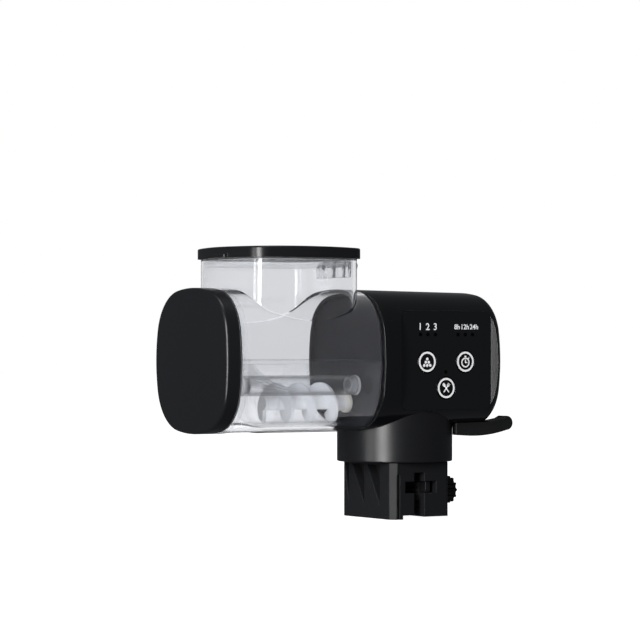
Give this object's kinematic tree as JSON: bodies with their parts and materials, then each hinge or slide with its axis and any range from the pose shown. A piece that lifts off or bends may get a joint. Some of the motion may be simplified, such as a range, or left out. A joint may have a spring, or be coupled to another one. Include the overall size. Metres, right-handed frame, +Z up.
{
  "type": "automatic pet feeder",
  "caption": "Automatic feeder that clamps on a tank rim: clear hopper bin with hinged lid and screw auger, motor housing with a key panel, swivel neck and screw clamp.",
  "frame": {"origin": "middle of the rim seat, the flat roof of the clamp's slot", "axes": "+Z up, X along the body from the end cap at -X to the motor housing at +X, -Y towards the control panel"},
  "size_m": [0.1728, 0.0688, 0.1315],
  "materials": {
    "cap_black": "satin",
    "housing_black": "gloss",
    "panel_black": "mirror gloss",
    "key_black": "gloss",
    "bracket_black": "fine satin",
    "clear_plastic": "clear moulded plastic",
    "clear_seal": "translucent",
    "black_rubber": "matte",
    "white_plastic": "satin",
    "gear_nylon": "satin",
    "lens_white": "translucent",
    "steel": "plain",
    "brass": "turned",
    "board_green": "solder mask",
    "switch_dark": "moulded",
    "cell_wrap": "shrink wrap"
  },
  "bodies": {
    "clamp": {"clamp_frame": "bracket_black", "jaw_pad": "black_rubber", "screw_insert": "brass", "swivel_washer": "steel", "swivel_screws": "steel"},
    "pressure_pad": {"pad_carrier": "bracket_black", "pad_rubber": "black_rubber"},
    "thumbscrew": {"clamp_screw": "steel", "clamp_knob": "bracket_black"},
    "feeder": {"neck_collar": "bracket_black", "housing_shell": "housing_black", "drive_bulkhead": "housing_black", "bin_gasket": "black_rubber", "control_panel": "panel_black", "indicator_lenses": "lens_white", "main_board": "board_green", "board_screws": "steel", "key_switches": "switch_dark", "battery_pack": "cell_wrap", "charge_port": "steel", "food_bin": "clear_plastic", "feed_trough": "clear_plastic", "desiccant_tube": "clear_plastic", "desiccant_caps": "clear_seal", "hinge_pin": "steel", "idler_shaft": "steel", "drive_motor": "steel", "motor_screws": "steel", "gear_plate": "bracket_black", "gearbox_screws": "steel", "shaft_seal": "black_rubber"},
    "end_cap": {"end_cap": "cap_black", "end_cap_seal": "clear_seal"},
    "lid": {"feeder_lid": "cap_black", "lid_seal": "clear_seal"},
    "auger": {"auger": "white_plastic", "drive_coupler": "gear_nylon", "drive_shaft": "steel", "output_gear": "gear_nylon"},
    "idler": {"idler_gear": "gear_nylon"},
    "motor_rotor": {"motor_pinion": "brass", "motor_shaft": "steel"},
    "portion_key": {"portion_key": "key_black"},
    "timer_key": {"timer_key": "key_black"},
    "feed_key": {"feed_key": "key_black"},
    "port_plug": {"port_plug": "black_rubber"}
  },
  "joints": [
    {"name": "neck_swivel", "type": "hinge", "parent": "clamp", "child": "feeder", "pos_m": [0.0009, 0, 0.0049], "axis": [0, 0, 1], "continuous": true},
    {"name": "pad_slide", "type": "slide", "parent": "clamp", "child": "pressure_pad", "axis": [-1, 0, 0], "range_m": [-0.0015, 0.0054]},
    {"name": "screw_spin", "type": "hinge", "parent": "pressure_pad", "child": "thumbscrew", "pos_m": [0.02, 0, -0.0099], "axis": [-1, 0, 0], "range_deg": [-270, 972]},
    {"name": "lid_hinge", "type": "hinge", "parent": "feeder", "child": "lid", "pos_m": [-0.0319, 0, 0.1], "axis": [0, 1, 0], "range_deg": [0, 110]},
    {"name": "cap_pull", "type": "slide", "parent": "feeder", "child": "end_cap", "axis": [-1, 0, 0], "range_m": [0, 0.03]},
    {"name": "auger_spin", "type": "hinge", "parent": "feeder", "child": "auger", "pos_m": [-0.0269, 0, 0.0338], "axis": [1, 0, 0], "continuous": true},
    {"name": "idler_spin", "type": "hinge", "parent": "feeder", "child": "idler", "pos_m": [-0.0269, 0, 0.0473], "axis": [1, 0, 0], "continuous": true},
    {"name": "motor_spin", "type": "hinge", "parent": "feeder", "child": "motor_rotor", "pos_m": [-0.0269, 0, 0.0626], "axis": [1, 0, 0], "continuous": true},
    {"name": "portion_key_press", "type": "slide", "parent": "feeder", "child": "portion_key", "axis": [0, 1, 0], "range_m": [0, 0.0006], "stiffness_N_per_m": 600, "springref_m": -0.0005},
    {"name": "timer_key_press", "type": "slide", "parent": "feeder", "child": "timer_key", "axis": [0, 1, 0], "range_m": [0, 0.0006], "stiffness_N_per_m": 600, "springref_m": -0.0005},
    {"name": "feed_key_press", "type": "slide", "parent": "feeder", "child": "feed_key", "axis": [0, 1, 0], "range_m": [0, 0.0006], "stiffness_N_per_m": 600, "springref_m": -0.0005},
    {"name": "plug_pull", "type": "slide", "parent": "feeder", "child": "port_plug", "axis": [0, 0, -1], "range_m": [0, 0.008]}
  ],
  "couplings": [
    {"joint": "screw_spin", "follows": "pad_slide", "rad_per_m": 3141.6},
    {"joint": "idler_spin", "follows": "auger_spin", "ratio": -2},
    {"joint": "motor_spin", "follows": "auger_spin", "ratio": 4.8}
  ]
}
